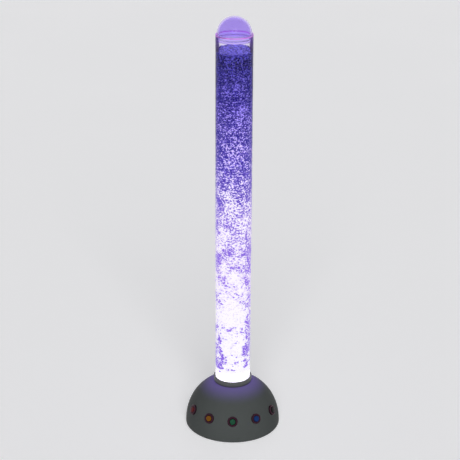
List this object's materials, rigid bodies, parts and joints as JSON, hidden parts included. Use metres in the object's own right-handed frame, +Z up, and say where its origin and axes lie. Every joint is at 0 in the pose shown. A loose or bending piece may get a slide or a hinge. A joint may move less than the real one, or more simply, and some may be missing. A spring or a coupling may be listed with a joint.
{
  "type": "led bubble tube",
  "caption": "Free-standing LED bubble tube: clear water-filled column in a domed silver base with coloured push-buttons.",
  "frame": {"origin": "middle of the footprint, on the surface that the feet stand on", "axes": "+Z up along the tube, -Y towards the side with the buttons, +X to the right seen from there"},
  "size_m": [0.216, 0.216, 0.9502],
  "materials": {
    "base": "satin silver-grey paint",
    "collar": "satin metal",
    "clear_acrylic": "clear, polished",
    "water": "lit water with bubbles",
    "opal_acrylic": "opal, glowing",
    "bezel": "polished, dark plum tint",
    "button_red": "glossy",
    "button_yellow": "glossy amber",
    "button_green": "glossy",
    "button_blue": "glossy",
    "button_black": "glossy",
    "steel": "zinc plated",
    "brass": "turned",
    "black_plastic": "moulded",
    "grey_plastic": "moulded",
    "rubber": "matte",
    "silicone": "translucent",
    "white_board": "white circuit board",
    "green_board": "green circuit board",
    "wire": "sheathed"
  },
  "bodies": {
    "stand": {"base_shell": "base", "collar": "collar", "tube": "clear_acrylic", "nozzle_plate": "clear_acrylic", "check_valve": "clear_acrylic", "water_column": "water", "light_plug": "opal_acrylic", "air_hose_upper": "silicone", "air_hose_lower": "silicone", "tube_gasket": "rubber", "plug_seal": "rubber", "pump_pad_left": "rubber", "pump_pad_right": "rubber", "tube_socket": "black_plastic", "bottom_plate": "black_plastic", "pump_lid": "black_plastic", "pump_outlet": "black_plastic", "power_jack": "black_plastic", "pump_housing": "grey_plastic", "air_fitting": "brass", "jack_nut": "steel", "led_board": "white_board", "control_board": "green_board", "power_cable": "wire", "pump_cable": "wire", "led_cable": "wire", "button_harness": "wire", "foot_front": "rubber", "foot_right": "rubber", "foot_back": "rubber", "foot_left": "rubber", "socket_screw_1": "steel", "socket_screw_2": "steel", "socket_screw_3": "steel", "plate_screw_1": "steel", "plate_screw_2": "steel", "plate_screw_3": "steel", "plate_screw_4": "steel", "button_body_red": "bezel", "button_nut_red": "steel", "button_body_yellow": "bezel", "button_nut_yellow": "steel", "button_body_green": "bezel", "button_nut_green": "steel", "button_body_blue": "bezel", "button_nut_blue": "steel", "button_body_black": "bezel", "button_nut_black": "steel"},
    "button_red": {"button_cap_red": "button_red"},
    "button_yellow": {"button_cap_yellow": "button_yellow"},
    "button_green": {"button_cap_green": "button_green"},
    "button_blue": {"button_cap_blue": "button_blue"},
    "button_black": {"button_cap_black": "button_black"},
    "lid": {"lid": "clear_acrylic", "lid_seal": "silicone"}
  },
  "joints": [
    {"name": "lid_lift", "type": "slide", "parent": "stand", "child": "lid", "axis": [0, 0, 1], "range_m": [0, 0.09]},
    {"name": "press_red", "type": "slide", "parent": "stand", "child": "button_red", "axis": [0.8306, 0.4051, -0.382], "range_m": [0, 0.0016], "stiffness_N_per_m": 200, "springref_m": -0.003},
    {"name": "press_yellow", "type": "slide", "parent": "stand", "child": "button_yellow", "axis": [0.4897, 0.7837, -0.382], "range_m": [0, 0.0016], "stiffness_N_per_m": 200, "springref_m": -0.003},
    {"name": "press_green", "type": "slide", "parent": "stand", "child": "button_green", "axis": [0, 0.9242, -0.382], "range_m": [0, 0.0016], "stiffness_N_per_m": 200, "springref_m": -0.003},
    {"name": "press_blue", "type": "slide", "parent": "stand", "child": "button_blue", "axis": [-0.4897, 0.7837, -0.382], "range_m": [0, 0.0016], "stiffness_N_per_m": 200, "springref_m": -0.003},
    {"name": "press_black", "type": "slide", "parent": "stand", "child": "button_black", "axis": [-0.8306, 0.4051, -0.382], "range_m": [0, 0.0016], "stiffness_N_per_m": 200, "springref_m": -0.003}
  ]
}
